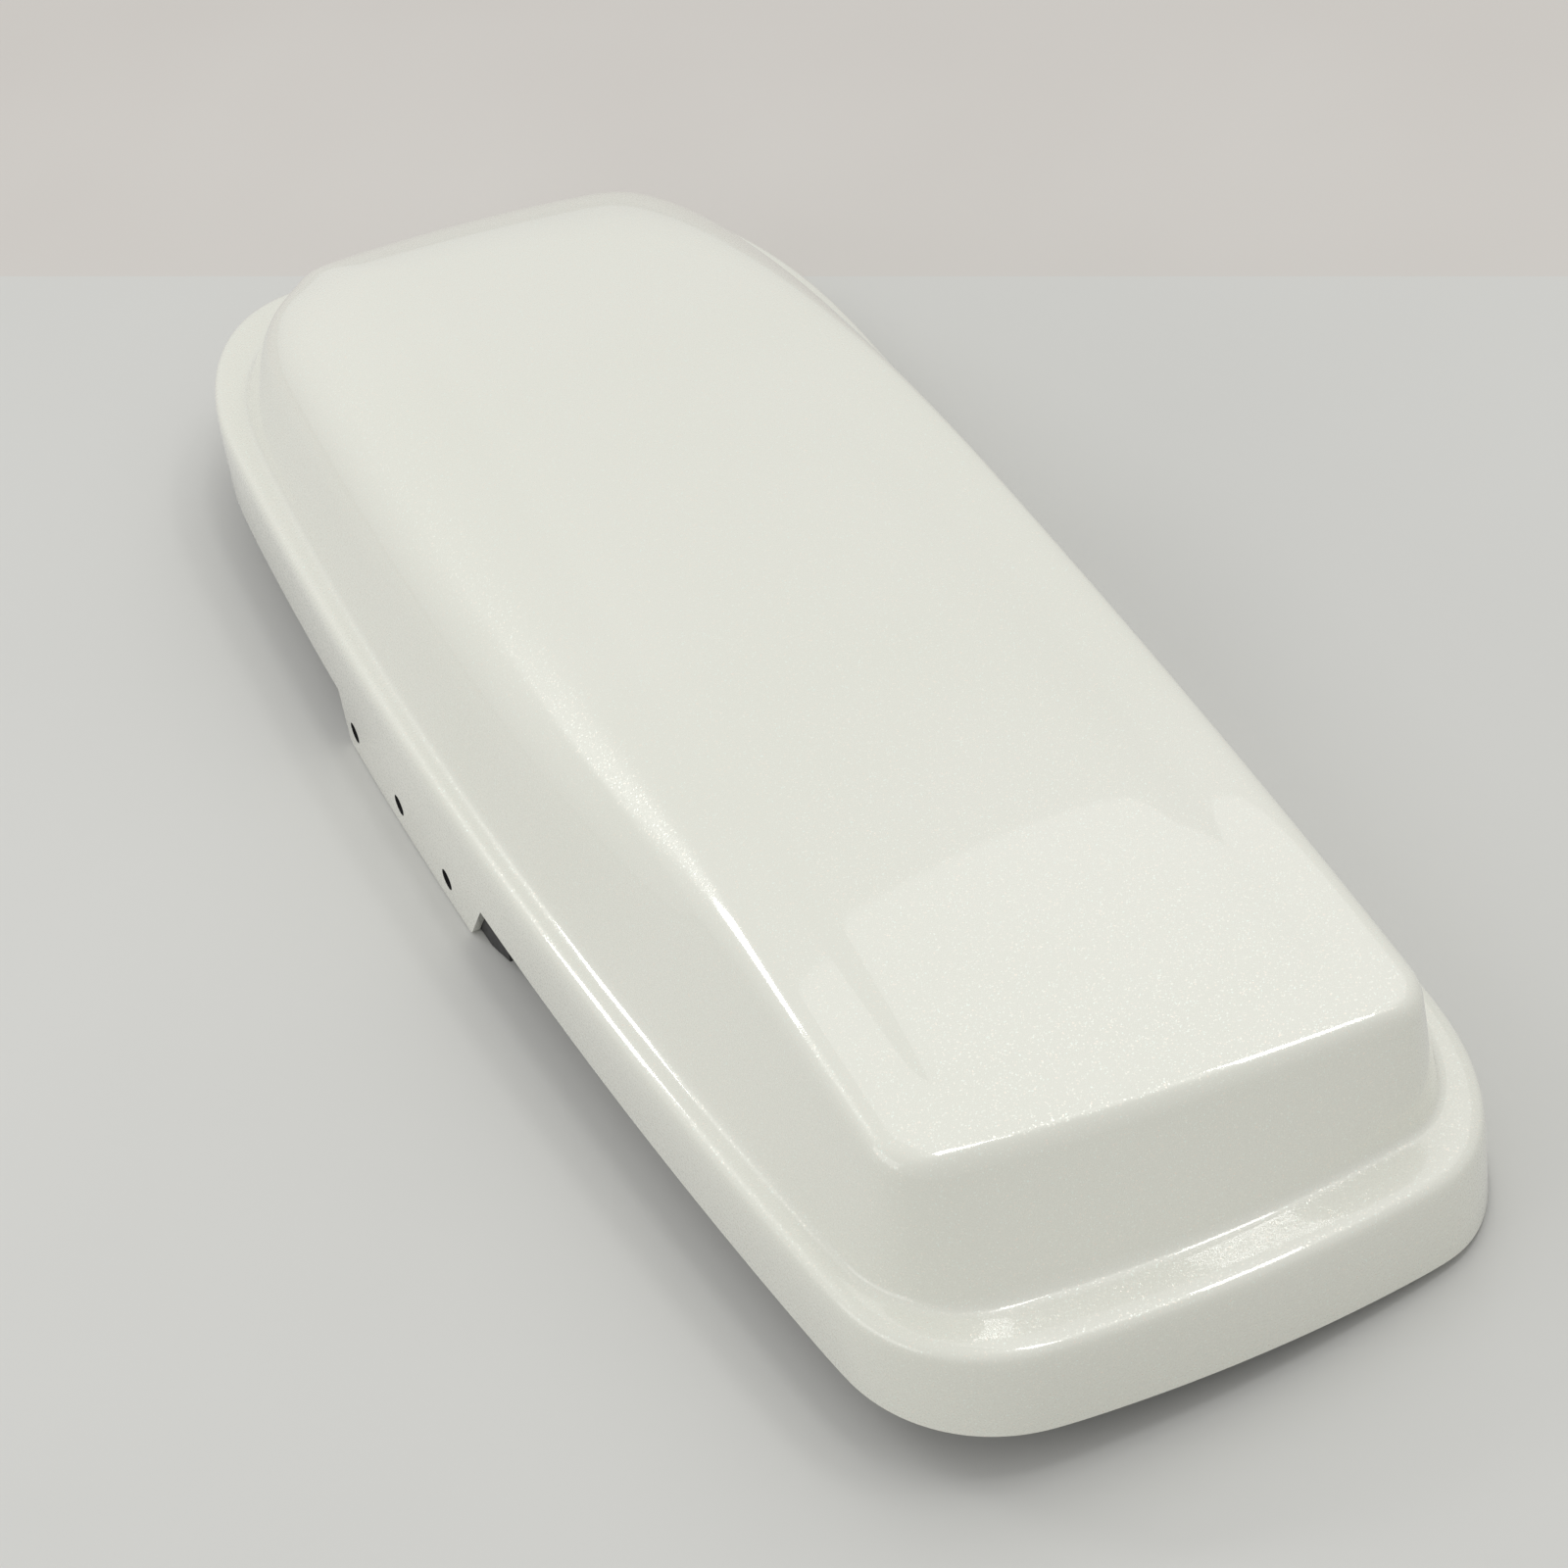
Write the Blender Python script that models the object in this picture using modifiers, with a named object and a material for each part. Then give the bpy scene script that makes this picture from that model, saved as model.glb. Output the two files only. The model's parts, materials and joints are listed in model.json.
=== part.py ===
"""Lid of a hard touring saddlebag: painted shell, liner, seal, hinge tab hardware and inboard latch.

The rim of the lid lies in the design plane z = 0, +Y points to the front of the bike, -X is outboard
(the side of the hinge tab) and +X is inboard (the side of the latch). Everything is parented to one
empty, which moves the design frame so that the origin is under the middle of the finished lid.
"""

import math

import bmesh
import bpy
from mathutils import Matrix, Vector

# ---------------------------------------------------------------- driving dimensions, metres
WALL = 0.003  # moulded wall of the shell
GAP = 0.0003  # clearance between pieces that touch
SKIRT_HEIGHT = 0.0353
CROWN_HEIGHT = 0.089
CROWN_END_DROP = 0.0056  # how much lower the crown's edge is at the two ends
CROWN_HALF_LENGTH = 0.31
LEDGE = {"left": 0.009, "near": 0.021, "right": 0.010, "far": 0.025}
TAB_DEPTH = 0.0235
TAB_FRONT = 0.131  # y where the tab starts, at the front
TAB_REAR = -0.0052  # y where its slanted rear edge meets the rim
TAB_FRONT_RUN = 0.006
TAB_REAR_RUN = 0.019
HOLE_PITCH = 0.0451
HOLE_MIDDLE_Y = 0.0746
HOLE_RADIUS = 0.004
HOLE_Z = -0.012
CREASE_DRAFT = math.radians(22)  # slope of the outboard wall below its crease
CREASE_SHARE = 0.76  # height of the crease as a share of the crown wall
LINER_GAP = 0.0016
LINER_WALL = 0.002
SEAL_RADIUS = 0.003
SEAL_INSET = 0.0085

# Corners of an outline in the order rear outboard, rear inboard, front inboard, front outboard; how
# far each side bows outwards (rear, inboard, front, outboard); and for each corner how far before
# and after it the rounding reaches along the two sides.
SKIRT = {
    "corners": ((-0.1014, -0.3010), (0.1139, -0.3047), (0.1075, 0.2991), (-0.1168, 0.3240)),
    "bows": (0.0114, 0.0030, 0.0104, 0.0178),
    "setbacks": ((0.0448, 0.0434), (0.0398, 0.0693), (0.1200, 0.0600), (0.0475, 0.0813)),
}
CROWN = {
    "corners": ((-0.0848, -0.2630), (0.0901, -0.2828), (0.0808, 0.2051), (-0.0703, 0.2551)),
    "bows": (0.0036, 0.0035, 0.0093, 0.0034),
    "setbacks": ((0.0153, 0.0147), (0.0123, 0.0140), (0.1807, 0.0456), (0.0166, 0.0435)),
}
SHORT_STATIONS = (0.0, 0.25, 0.5, 0.75, 1.0)
CORNER_STATIONS = 5  # points on a rounded corner, an odd number, so that one is its middle

# Inboard latch: its own frame sits in the middle of the crown's inboard wall, x outwards, z upwards.
LATCH_DRAFT = math.radians(15.3)  # lean of the inboard wall
LATCH_YAW = math.radians(0.85)  # the inboard wall narrows towards the front
LATCH_CENTRE = (0.09845, 0.0, 0.0545)
LEVER_PIVOT = (-0.004, 0.0085)  # x, z in the latch frame
ROD_X = -0.034
ROD_RADIUS = 0.0025
SHAFT_AT = (-0.0161, -0.0334)
SHAFT_RADIUS = 0.004
SHAFT_LENGTH = 0.330
HOOK_Y = 0.150
BRACKET_Y = 0.120
BRACKET_INNER = -0.0235  # x of the bracket's inner face in the latch frame
BRACKET_OUTER = -0.0084  # x of its outer face, against the liner
BRACKET_SCREW_Z = -0.0150
BRACKETS = (("front", BRACKET_Y), ("rear", -BRACKET_Y))
HOUSING_SCREWS = (("front", 0.0540), ("rear", -0.0540))
FLANGE_SCREW_Z = -0.005
FLANGE_OUTER = 0.0014
LOCK_Y = 0.034
LEVER_SPAN = (-0.0440, 0.0180)
PADDLE_HEIGHT = 0.0130  # from the pin down; the rest of the recess is room for the fingers


# ---------------------------------------------------------------- scene and materials
def clear_scene():
    for obj in list(bpy.data.objects):
        bpy.data.objects.remove(obj, do_unlink=True)


def new_collection(name, hidden=False):
    made = bpy.data.collections.new(name)
    bpy.context.scene.collection.children.link(made)
    made.hide_render = hidden
    return made


def material(name, colour, roughness, metallic=0.0):
    made = bpy.data.materials.new(name)
    made.use_nodes = True
    shader = made.node_tree.nodes["Principled BSDF"]
    shader.inputs["Base Color"].default_value = (*colour, 1.0)
    shader.inputs["Roughness"].default_value = roughness
    shader.inputs["Metallic"].default_value = metallic
    return made


clear_scene()
PARTS = new_collection("saddlebag_lid")
CUTTERS = new_collection("cutters", hidden=True)
ORIGIN = bpy.data.objects.new("lid_origin", None)
PARTS.objects.link(ORIGIN)
LATCH = bpy.data.objects.new("latch_frame", None)
PARTS.objects.link(LATCH)
LATCH.parent = ORIGIN
LATCH.location = LATCH_CENTRE
LATCH.rotation_euler = (0.0, -LATCH_DRAFT, LATCH_YAW)

PAINT = ("pearl_paint", (0.84, 0.85, 0.80), 0.22)
BLACK = ("black_plastic", (0.02, 0.02, 0.02), 0.5)
RUBBER = ("rubber", (0.025, 0.025, 0.025), 0.8)
STEEL = ("zinc_steel", (0.60, 0.60, 0.58), 0.35, 1.0)
CHROME = ("chrome", (0.80, 0.80, 0.80), 0.12, 1.0)
DARK_STEEL = ("black_steel", (0.05, 0.05, 0.055), 0.4, 1.0)
BRASS = ("brass", (0.72, 0.55, 0.25), 0.35, 1.0)


def finish(obj, look, parent=ORIGIN, smooth_angle=35):
    """Names the piece's own material, parents it and shades it."""
    obj.data.materials.clear()
    obj.data.materials.append(material(f"{obj.name}_{look[0]}", *look[1:]))
    obj.parent = parent
    if obj.name not in PARTS.objects:
        PARTS.objects.link(obj)
    if obj.type == "MESH":
        obj.data.shade_smooth()
        obj.data.set_sharp_from_angle(angle=math.radians(smooth_angle))
    return obj


def mesh_object(name, bm):
    bmesh.ops.recalc_face_normals(bm, faces=bm.faces)
    data = bpy.data.meshes.new(name)
    bm.to_mesh(data)
    bm.free()
    return bpy.data.objects.new(name, data)


def cutter(obj, parent=ORIGIN):
    obj.parent = parent
    obj.hide_render = True
    obj.display_type = "WIRE"
    CUTTERS.objects.link(obj)
    return obj


def boolean(obj, other, operation="DIFFERENCE"):
    step = obj.modifiers.new(f"{operation.lower()}_{other.name}", "BOOLEAN")
    step.operation = operation
    step.object = other
    step.solver = "EXACT"


# ---------------------------------------------------------------- simple shapes
def block(name, low, high, bevel=0.0, segments=2):
    """A box between two opposite corners, with rounded edges if bevel is set."""
    low, high = Vector(low), Vector(high)
    bm = bmesh.new()
    bmesh.ops.create_cube(bm, size=1.0, matrix=Matrix.LocRotScale((low + high) / 2, None, high - low))
    obj = mesh_object(name, bm)
    if bevel:
        step = obj.modifiers.new("rounded_edges", "BEVEL")
        step.width = bevel
        step.segments = segments
        step.limit_method = "ANGLE"
    return obj


def turned(name, profile, axis, at, steps=20):
    """A solid of revolution: profile is (radius, height) from top to bottom, on the given axis."""
    data = bpy.data.meshes.new(name)
    data.from_pydata([(r, 0.0, h) for r, h in profile], [(i, i + 1) for i in range(len(profile) - 1)], [])
    obj = bpy.data.objects.new(name, data)
    step = obj.modifiers.new("turn", "SCREW")
    step.steps = steps
    step.render_steps = steps
    step.use_merge_vertices = True
    step.merge_threshold = 0.00001
    step.use_smooth_shade = True
    obj.rotation_mode = "QUATERNION"
    obj.rotation_quaternion = Vector((0, 0, 1)).rotation_difference(Vector(axis))
    obj.location = at
    return obj


def rod(name, radius, start, end, steps=20, chamfer=0.0004):
    """A round bar from start to end with a small chamfer at both ends."""
    start, end = Vector(start), Vector(end)
    length = (end - start).length
    profile = (
        (0.0, length),
        (radius - chamfer, length),
        (radius, length - chamfer),
        (radius, chamfer),
        (radius - chamfer, 0.0),
        (0.0, 0.0),
    )
    return turned(name, profile, end - start, start, steps)


def coil(name, wire, radius, pitch, turns, axis_start, per_turn=12):
    """A compression or torsion spring along +Y, as a wire bent round its axis."""
    curve = bpy.data.curves.new(name, "CURVE")
    curve.dimensions = "3D"
    curve.bevel_depth = wire
    curve.bevel_resolution = 0
    curve.use_fill_caps = True
    spline = curve.splines.new("POLY")
    count = int(turns * per_turn) + 1
    spline.points.add(count - 1)
    for i, point in enumerate(spline.points):
        angle = 2 * math.pi * i / per_turn
        x = axis_start[0] + radius * math.cos(angle)
        y = axis_start[1] + pitch * i / per_turn
        z = axis_start[2] + radius * math.sin(angle)
        point.co = (x, y, z, 1.0)
    return bpy.data.objects.new(name, curve)


def plate(name, outline, thickness, centre_y):
    """A flat piece whose (x, z) outline is given, standing in the XZ plane round y = centre_y."""
    bm = bmesh.new()
    rows = []
    for y in (centre_y - thickness / 2, centre_y + thickness / 2):
        rows.append([bm.verts.new((x, y, z)) for x, z in outline])
    bm.faces.new(rows[0])
    bm.faces.new(list(reversed(rows[1])))
    count = len(outline)
    for i in range(count):
        j = (i + 1) % count
        bm.faces.new((rows[0][i], rows[0][j], rows[1][j], rows[1][i]))
    return mesh_object(name, bm)


def arc(centre, radius, start_deg, end_deg, count):
    """Points on a circle in the XZ plane."""
    points = []
    for i in range(count):
        angle = math.radians(start_deg + (end_deg - start_deg) * i / (count - 1))
        points.append((centre[0] + radius * math.cos(angle), centre[1] + radius * math.sin(angle)))
    return points


# ---------------------------------------------------------------- plan outlines
def shifted_corners(outline, left=0.0, near=0.0, right=0.0, far=0.0):
    """The outline with its four sides moved inwards by these distances."""
    moves = ((left, near), (-right, near), (-right, -far), (left, -far))
    corners = tuple((x + dx, y + dy) for (x, y), (dx, dy) in zip(outline["corners"], moves))
    reach = 0.36 * (left + near + right + far) / 2
    setbacks = tuple(tuple(max(s - reach, 0.012) for s in pair) for pair in outline["setbacks"])
    return {"corners": corners, "bows": outline["bows"], "setbacks": setbacks}


class Side:
    """One bowed side of an outline, from one corner to the next."""

    def __init__(self, start, end, bow):
        self.start = Vector(start)
        self.run = Vector(end) - self.start
        self.length = self.run.length
        self.outward = Vector((self.run.y, -self.run.x)) / self.length
        self.bow = bow

    def point(self, t):
        return self.start + self.run * t + self.outward * (4 * self.bow * t * (1 - t))

    def tangent(self, t):
        return (self.run + self.outward * (4 * self.bow * (1 - 2 * t))).normalized()


def crossing(a, direction_a, b, direction_b):
    """How far along direction_a and direction_b two lines in the plan meet."""
    det = direction_a.x * -direction_b.y + direction_a.y * direction_b.x
    gap = b - a
    along_a = (gap.x * -direction_b.y + gap.y * direction_b.x) / det
    along_b = (direction_a.x * gap.y - direction_a.y * gap.x) / det
    return along_a, along_b


def ring(outline, stations, corner_count=CORNER_STATIONS, fullness=0.6):
    """Points round an outline: for each side its stations, then the rounded corner after it."""
    corners, setbacks = outline["corners"], outline["setbacks"]
    sides = [Side(corners[i], corners[(i + 1) % 4], outline["bows"][i]) for i in range(4)]
    points = []
    for i, side in enumerate(sides):
        after = (i + 1) % 4
        first = setbacks[i][1] / side.length
        last = 1 - setbacks[after][0] / side.length
        points += [side.point(first + (last - first) * s) for s in stations[i]]
        a, direction_a = side.point(last), side.tangent(last)
        start = setbacks[after][1] / sides[after].length
        b, direction_b = sides[after].point(start), -sides[after].tangent(start)
        along_a, along_b = crossing(a, direction_a, b, direction_b)
        handle_a = a + direction_a * along_a * fullness
        handle_b = b + direction_b * along_b * fullness
        for k in range(1, corner_count + 1):
            t = k / (corner_count + 1)
            s = 1 - t
            points.append(a * s**3 + handle_a * 3 * s * s * t + handle_b * 3 * s * t * t + b * t**3)
    return points


def inward_normals(points):
    """Unit vectors pointing into the outline at each point."""
    found = []
    count = len(points)
    for i in range(count):
        along = points[(i + 1) % count] - points[i - 1]
        found.append(Vector((-along.y, along.x)).normalized())
    return found


def side_stations():
    """Stations along the two long sides, with extra ones where the tab's outline turns."""
    corners, setbacks = SKIRT["corners"], SKIRT["setbacks"]
    side = Side(corners[3], corners[0], SKIRT["bows"][3])
    first = setbacks[3][1] / side.length
    last = 1 - setbacks[0][0] / side.length
    tab = [TAB_FRONT - TAB_FRONT_RUN * s for s in (0.0, 0.04, 0.2, 0.5, 1.0)]
    tab += [HOLE_MIDDLE_Y]
    tab += [TAB_REAR + TAB_REAR_RUN * s for s in (1.0, 0.85, 0.7, 0.0)]
    found = [((y - corners[3][1]) / side.run.y - first) / (last - first) for y in tab]
    return (0.0, 0.07, 0.15) + tuple(found) + (0.62, 0.74, 0.87, 1.0)


def tab_drop(y):
    """How far below the rim the tab reaches at this place along the outboard side."""
    front = min(max((TAB_FRONT - y) / TAB_FRONT_RUN, 0.0), 1.0)
    rear = min(max((y - TAB_REAR) / TAB_REAR_RUN, 0.0), 1.0)
    front = (1 - (1 - front) ** 4) ** 0.25
    rear = min(rear * 1.15, 1 - 0.35 * (1 - rear) ** 2)
    return TAB_DEPTH * min(front, rear)


def crown_edge_height(y):
    return CROWN_HEIGHT - CROWN_END_DROP * (y / CROWN_HALF_LENGTH) ** 2


def smoothstep(low, high, value):
    t = min(max((value - low) / (high - low), 0.0), 1.0)
    return t * t * (3 - 2 * t)


# ---------------------------------------------------------------- the shell's cross-section
TOP_INSET = 0.022  # width of the band between the crown's edge and the top patch
TOP_RISE = 0.0015
DOME = 0.0035


def sections(stations, corner_count=CORNER_STATIONS):
    """For every station round the lid, its inward normal and the corner points of its section."""
    skirt = ring(SKIRT, stations, corner_count)
    foot = ring(shifted_corners(SKIRT, **LEDGE), stations, corner_count)
    crown = ring(CROWN, stations, corner_count)
    top = ring(shifted_corners(CROWN, TOP_INSET, TOP_INSET, TOP_INSET, TOP_INSET), stations, corner_count)
    normals = inward_normals(skirt)
    found = []
    for i, inward in enumerate(normals):
        outboard = max(inward.x, 0.0)
        ahead = max(-inward.y, 0.0)
        creased = max(outboard, 0.8 * ahead) * smoothstep(-0.19, -0.02, crown[i].y)
        edge_z = crown_edge_height(crown[i].y)
        rise = edge_z - SKIRT_HEIGHT
        step = crown[i] - foot[i]
        share = min(math.tan(CREASE_DRAFT) * CREASE_SHARE * rise / max(step.length, 0.001), 0.75)
        across = 0.75 + (share - 0.75) * creased
        up = 0.75 + (CREASE_SHARE - 0.75) * creased
        drop = tab_drop(skirt[i].y) if skirt[i].x < 0 else 0.0
        found.append({
            "inward": inward,
            "creased": creased,
            "corners": (
                skirt[i].to_3d() - Vector((0, 0, drop)),
                skirt[i].to_3d() + Vector((0, 0, SKIRT_HEIGHT)),
                foot[i].to_3d() + Vector((0, 0, SKIRT_HEIGHT)),
                (foot[i] + step * across).to_3d() + Vector((0, 0, SKIRT_HEIGHT + up * rise)),
                crown[i].to_3d() + Vector((0, 0, edge_z)),
                top[i].to_3d() + Vector((0, 0, edge_z + TOP_RISE)),
            ),
        })
    return found


def offset_corners(section, distance):
    """The section's corner points moved inwards, at right angles to its own lines."""
    inward = section["inward"].to_3d()
    corners = section["corners"]
    flat = [((p - corners[0]).dot(inward), p.z) for p in corners]
    normals = []
    for (s0, z0), (s1, z1) in zip(flat, flat[1:]):
        length = max(math.hypot(s1 - s0, z1 - z0), 1e-6)
        normals.append(((z1 - z0) / length, -(s1 - s0) / length))
    moved = []
    for k, corner in enumerate(corners):
        a = normals[max(k - 1, 0)]
        b = normals[min(k, len(normals) - 1)]
        scale = distance / (1 + a[0] * b[0] + a[1] * b[1])
        moved.append(corner + inward * (a[0] + b[0]) * scale + Vector((0, 0, (a[1] + b[1]) * scale)))
    moved[0].z = corners[0].z
    return moved


def softened(before, corner, after, reach, count):
    """Points that round a corner off, starting and ending at most reach away from it."""
    back, ahead = before - corner, after - corner
    a = corner + back * min(reach / back.length, 0.45)
    b = corner + ahead * min(reach / ahead.length, 0.45)
    points = []
    for k in range(count):
        t = k / (count - 1)
        points.append(a * (1 - t) ** 2 + corner * 2 * t * (1 - t) + b * t**2)
    return points


def profile(section, distance, start=0):
    """One line of the lofted surface, from the rim (or the ledge, if start is 1) to the top patch."""
    p = offset_corners(section, distance)
    creased = section["creased"]
    line = [p[0]] if start == 0 else [p[1] + (p[2] - p[1]) * 0.12]
    if start == 0:
        line += softened(p[0], p[1], p[2], max(0.006 - distance, 0.002), 3)
    line += softened(p[1], p[2], p[3], 0.004 + distance * 0.5, 2)
    line += softened(p[2], p[3], p[4], 0.004 + 0.008 * creased, 2)
    line += softened(p[3], p[4], p[5], max(0.006 + 0.010 * creased - distance, 0.003), 3)
    line.append(p[5])
    return line


def patch_rows(rim, stations, corner_count=CORNER_STATIONS):
    """A grid of points inside a closed ring: a blend between its four sides, raised to a low dome."""
    half = (corner_count + 1) // 2
    counts = [len(s) for s in stations]
    starts = []
    at = -half
    for count in counts:
        starts.append(at)
        at += count + corner_count
    total = len(rim)
    lines = []
    for side in range(4):
        first = starts[side]
        last = starts[side] + counts[side] + corner_count
        lines.append([rim[i % total] for i in range(first, last + 1)])
    near, right, far, left = lines
    far = list(reversed(far))
    left = list(reversed(left))
    rows = []
    for j in range(len(left)):
        v = j / (len(left) - 1)
        row = []
        for i in range(len(near)):
            u = i / (len(near) - 1)
            across = left[j] * (1 - u) + right[j] * u
            along = near[i] * (1 - v) + far[i] * v
            corner = (near[0] * (1 - u) + near[-1] * u) * (1 - v) + (far[0] * (1 - u) + far[-1] * u) * v
            lift = DOME * (1 - (2 * u - 1) ** 2) * (1 - (2 * v - 1) ** 2)
            row.append(across + along - corner + Vector((0, 0, lift)))
        rows.append(row)
    return rows, starts


def skin(bm, found, distance, stations, start, corner_count=CORNER_STATIONS):
    """Adds one lofted surface with its top patch, and gives back its first ring of vertices."""
    lines = [[bm.verts.new(p) for p in profile(s, distance, start)] for s in found]
    total = len(lines)
    for i in range(total):
        here, there = lines[i], lines[(i + 1) % total]
        for k in range(len(here) - 1):
            bm.faces.new((here[k], there[k], there[k + 1], here[k + 1]))
    rim = [line[-1].co.copy() for line in lines]
    rows, starts = patch_rows(rim, stations, corner_count)
    height, width = len(rows), len(rows[0])
    grid = [[None] * width for _ in range(height)]
    for i in range(width):
        grid[0][i] = lines[(starts[0] + i) % total][-1]
        grid[-1][width - 1 - i] = lines[(starts[2] + i) % total][-1]
    for j in range(height):
        grid[j][-1] = lines[(starts[1] + j) % total][-1]
        grid[height - 1 - j][0] = lines[(starts[3] + j) % total][-1]
    for j in range(height):
        for i in range(width):
            if grid[j][i] is None:
                grid[j][i] = bm.verts.new(rows[j][i])
    for j in range(height - 1):
        for i in range(width - 1):
            bm.faces.new((grid[j][i], grid[j][i + 1], grid[j + 1][i + 1], grid[j + 1][i]))
    return [line[0] for line in lines]


def lofted_shell(name, outer, inner, stations, start=0):
    """A closed shell between two offsets of the lid's surface, joined along its lower edge."""
    bm = bmesh.new()
    found = sections(stations)
    outside = skin(bm, found, outer, stations, start)
    inside = skin(bm, found, inner, stations, start)
    total = len(outside)
    for i in range(total):
        j = (i + 1) % total
        bm.faces.new((outside[i], inside[i], inside[j], outside[j]))
    return mesh_object(name, bm)


LONG_STATIONS = side_stations()
STATIONS = (
    SHORT_STATIONS,
    tuple(1 - s for s in reversed(LONG_STATIONS)),
    SHORT_STATIONS,
    LONG_STATIONS,
)
PLAIN_LONG = (0.0, 0.2, 0.4, 0.6, 0.8, 1.0)
PLAIN_STATIONS = (SHORT_STATIONS, PLAIN_LONG, SHORT_STATIONS, PLAIN_LONG)


# ---------------------------------------------------------------- outboard side: the hinge tab
def tab_place(y):
    """The point on the outboard face of the skirt at this y, and the inward normal there."""
    side = Side(SKIRT["corners"][3], SKIRT["corners"][0], SKIRT["bows"][3])
    t = (y - SKIRT["corners"][3][1]) / side.run.y
    return side.point(t), -side.outward


def hole_places():
    names = ("front", "middle", "rear")
    return [(names[k], HOLE_MIDDLE_Y + (1 - k) * HOLE_PITCH) for k in range(3)]


def tab_drill(name, y, radius, start, end):
    """A round cutter across the tab, from start to end metres inside its outer face."""
    point, inward = tab_place(y)
    base = point.to_3d() + Vector((0, 0, HOLE_Z))
    return cutter(rod(name, radius, base + inward.to_3d() * start, base + inward.to_3d() * end, 24, 0.0))


def outer_shell():
    obj = lofted_shell("outer_shell", 0.0, WALL, STATIONS)
    finish(obj, PAINT)
    for name, y in hole_places():
        boolean(obj, tab_drill(f"tab_hole_{name}", y, HOLE_RADIUS, -0.01, 0.01))
    opening = block("latch_opening", (-0.02, -0.0490, -0.0150), (0.02, 0.0490, 0.0130), 0.004, 2)
    boolean(obj, cutter(opening, LATCH))
    for side, y in HOUSING_SCREWS:
        boolean(obj, flange_drill(f"screw_hole_{side}", y, 0.0024))
    for side, y in BRACKETS:
        boolean(obj, bracket_drill(f"bracket_pilot_{side}", y, 0.0017, -0.0021))
    return obj


def flange_drill(name, y, radius):
    """A round cutter on the axis of one of the latch flange's screws."""
    start, end = (-0.02, y, FLANGE_SCREW_Z), (0.02, y, FLANGE_SCREW_Z)
    return cutter(rod(name, radius, start, end, 16, 0.0), LATCH)


def bracket_drill(name, y, radius, end):
    """A round cutter on a bracket screw's axis, from inside the hollow to this x in the latch frame."""
    return cutter(rod(name, radius, (-0.05, y, BRACKET_SCREW_Z), (end, y, BRACKET_SCREW_Z), 12, 0.0), LATCH)


def hinge_backing_plate():
    """A black plate behind the tab, bent to the skirt's bow, that shows in the notch at its rear."""
    front, rear, top, thickness = TAB_FRONT - 0.005, TAB_REAR - 0.012, 0.024, 0.003
    count = 9
    bm = bmesh.new()
    rows = []
    for k in range(count):
        y = front + (rear - front) * k / (count - 1)
        point, inward = tab_place(y)
        low = -TAB_DEPTH + 0.0012 + (0.007 if k == count - 1 else 0.0)
        column = []
        for inset in (WALL + GAP, WALL + GAP + thickness):
            at = point + inward * inset
            column.append((bm.verts.new((at.x, at.y, low)), bm.verts.new((at.x, at.y, top))))
        rows.append(column)
    for (out_a, in_a), (out_b, in_b) in zip(rows, rows[1:]):
        bm.faces.new((out_a[0], out_b[0], out_b[1], out_a[1]))
        bm.faces.new((in_a[1], in_b[1], in_b[0], in_a[0]))
        bm.faces.new((out_a[1], out_b[1], in_b[1], in_a[1]))
        bm.faces.new((in_a[0], in_b[0], out_b[0], out_a[0]))
    for outside, inside in (rows[0], rows[-1]):
        bm.faces.new((outside[0], outside[1], inside[1], inside[0]))
    obj = finish(mesh_object("hinge_backing_plate", bm), BLACK)
    for name, y in hole_places():
        boolean(obj, tab_drill(f"backing_hole_{name}", y, 0.0050, 0.001, 0.012))
    return obj


def hinge_inserts():
    """Threaded inserts behind the three holes of the tab, each with a flange on the inner side."""
    barrel, bore, flange = 0.0046, 0.0026, 0.0066
    for name, y in hole_places():
        point, inward = tab_place(y)
        base = point.to_3d() + Vector((0, 0, HOLE_Z)) + inward.to_3d() * (WALL + GAP)
        profile_points = (
            (bore, 0.0105),
            (flange, 0.0105),
            (flange, 0.0093),
            (flange, 0.0036),
            (barrel, 0.0036),
            (barrel, 0.0),
            (bore, 0.0),
            (bore, 0.0105),
        )
        finish(turned(f"hinge_insert_{name}", profile_points, inward.to_3d(), base, 20), STEEL)


# ---------------------------------------------------------------- liner and seal
def inner_liner():
    obj = lofted_shell("inner_liner", WALL + LINER_GAP, WALL + LINER_GAP + LINER_WALL, PLAIN_STATIONS, 1)
    finish(obj, BLACK)
    window = block("liner_window", (-0.05, -0.0620, -0.0175), (0.02, 0.0620, 0.0165), 0.0, 1)
    boolean(obj, cutter(window, LATCH))
    for side, y in BRACKETS:
        boolean(obj, bracket_drill(f"liner_hole_{side}", y, 0.0019, 0.01))
    return obj


def lid_seal():
    """A bulb seal all round, just under the liner's flange, where the rim of the bag closes on it."""
    inset = {"left": SEAL_INSET, "near": SEAL_INSET, "right": SEAL_INSET, "far": SEAL_INSET}
    path = ring(shifted_corners(SKIRT, **inset), PLAIN_STATIONS)
    curve = bpy.data.curves.new("lid_seal", "CURVE")
    curve.dimensions = "3D"
    curve.bevel_depth = SEAL_RADIUS
    curve.bevel_resolution = 1
    spline = curve.splines.new("POLY")
    spline.points.add(len(path) - 1)
    spline.use_cyclic_u = True
    height = SKIRT_HEIGHT - WALL - LINER_GAP - LINER_WALL - SEAL_RADIUS - GAP
    for point, at in zip(spline.points, path):
        point.co = (at.x, at.y, height, 1.0)
    return finish(bpy.data.objects.new("lid_seal", curve), RUBBER)


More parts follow.
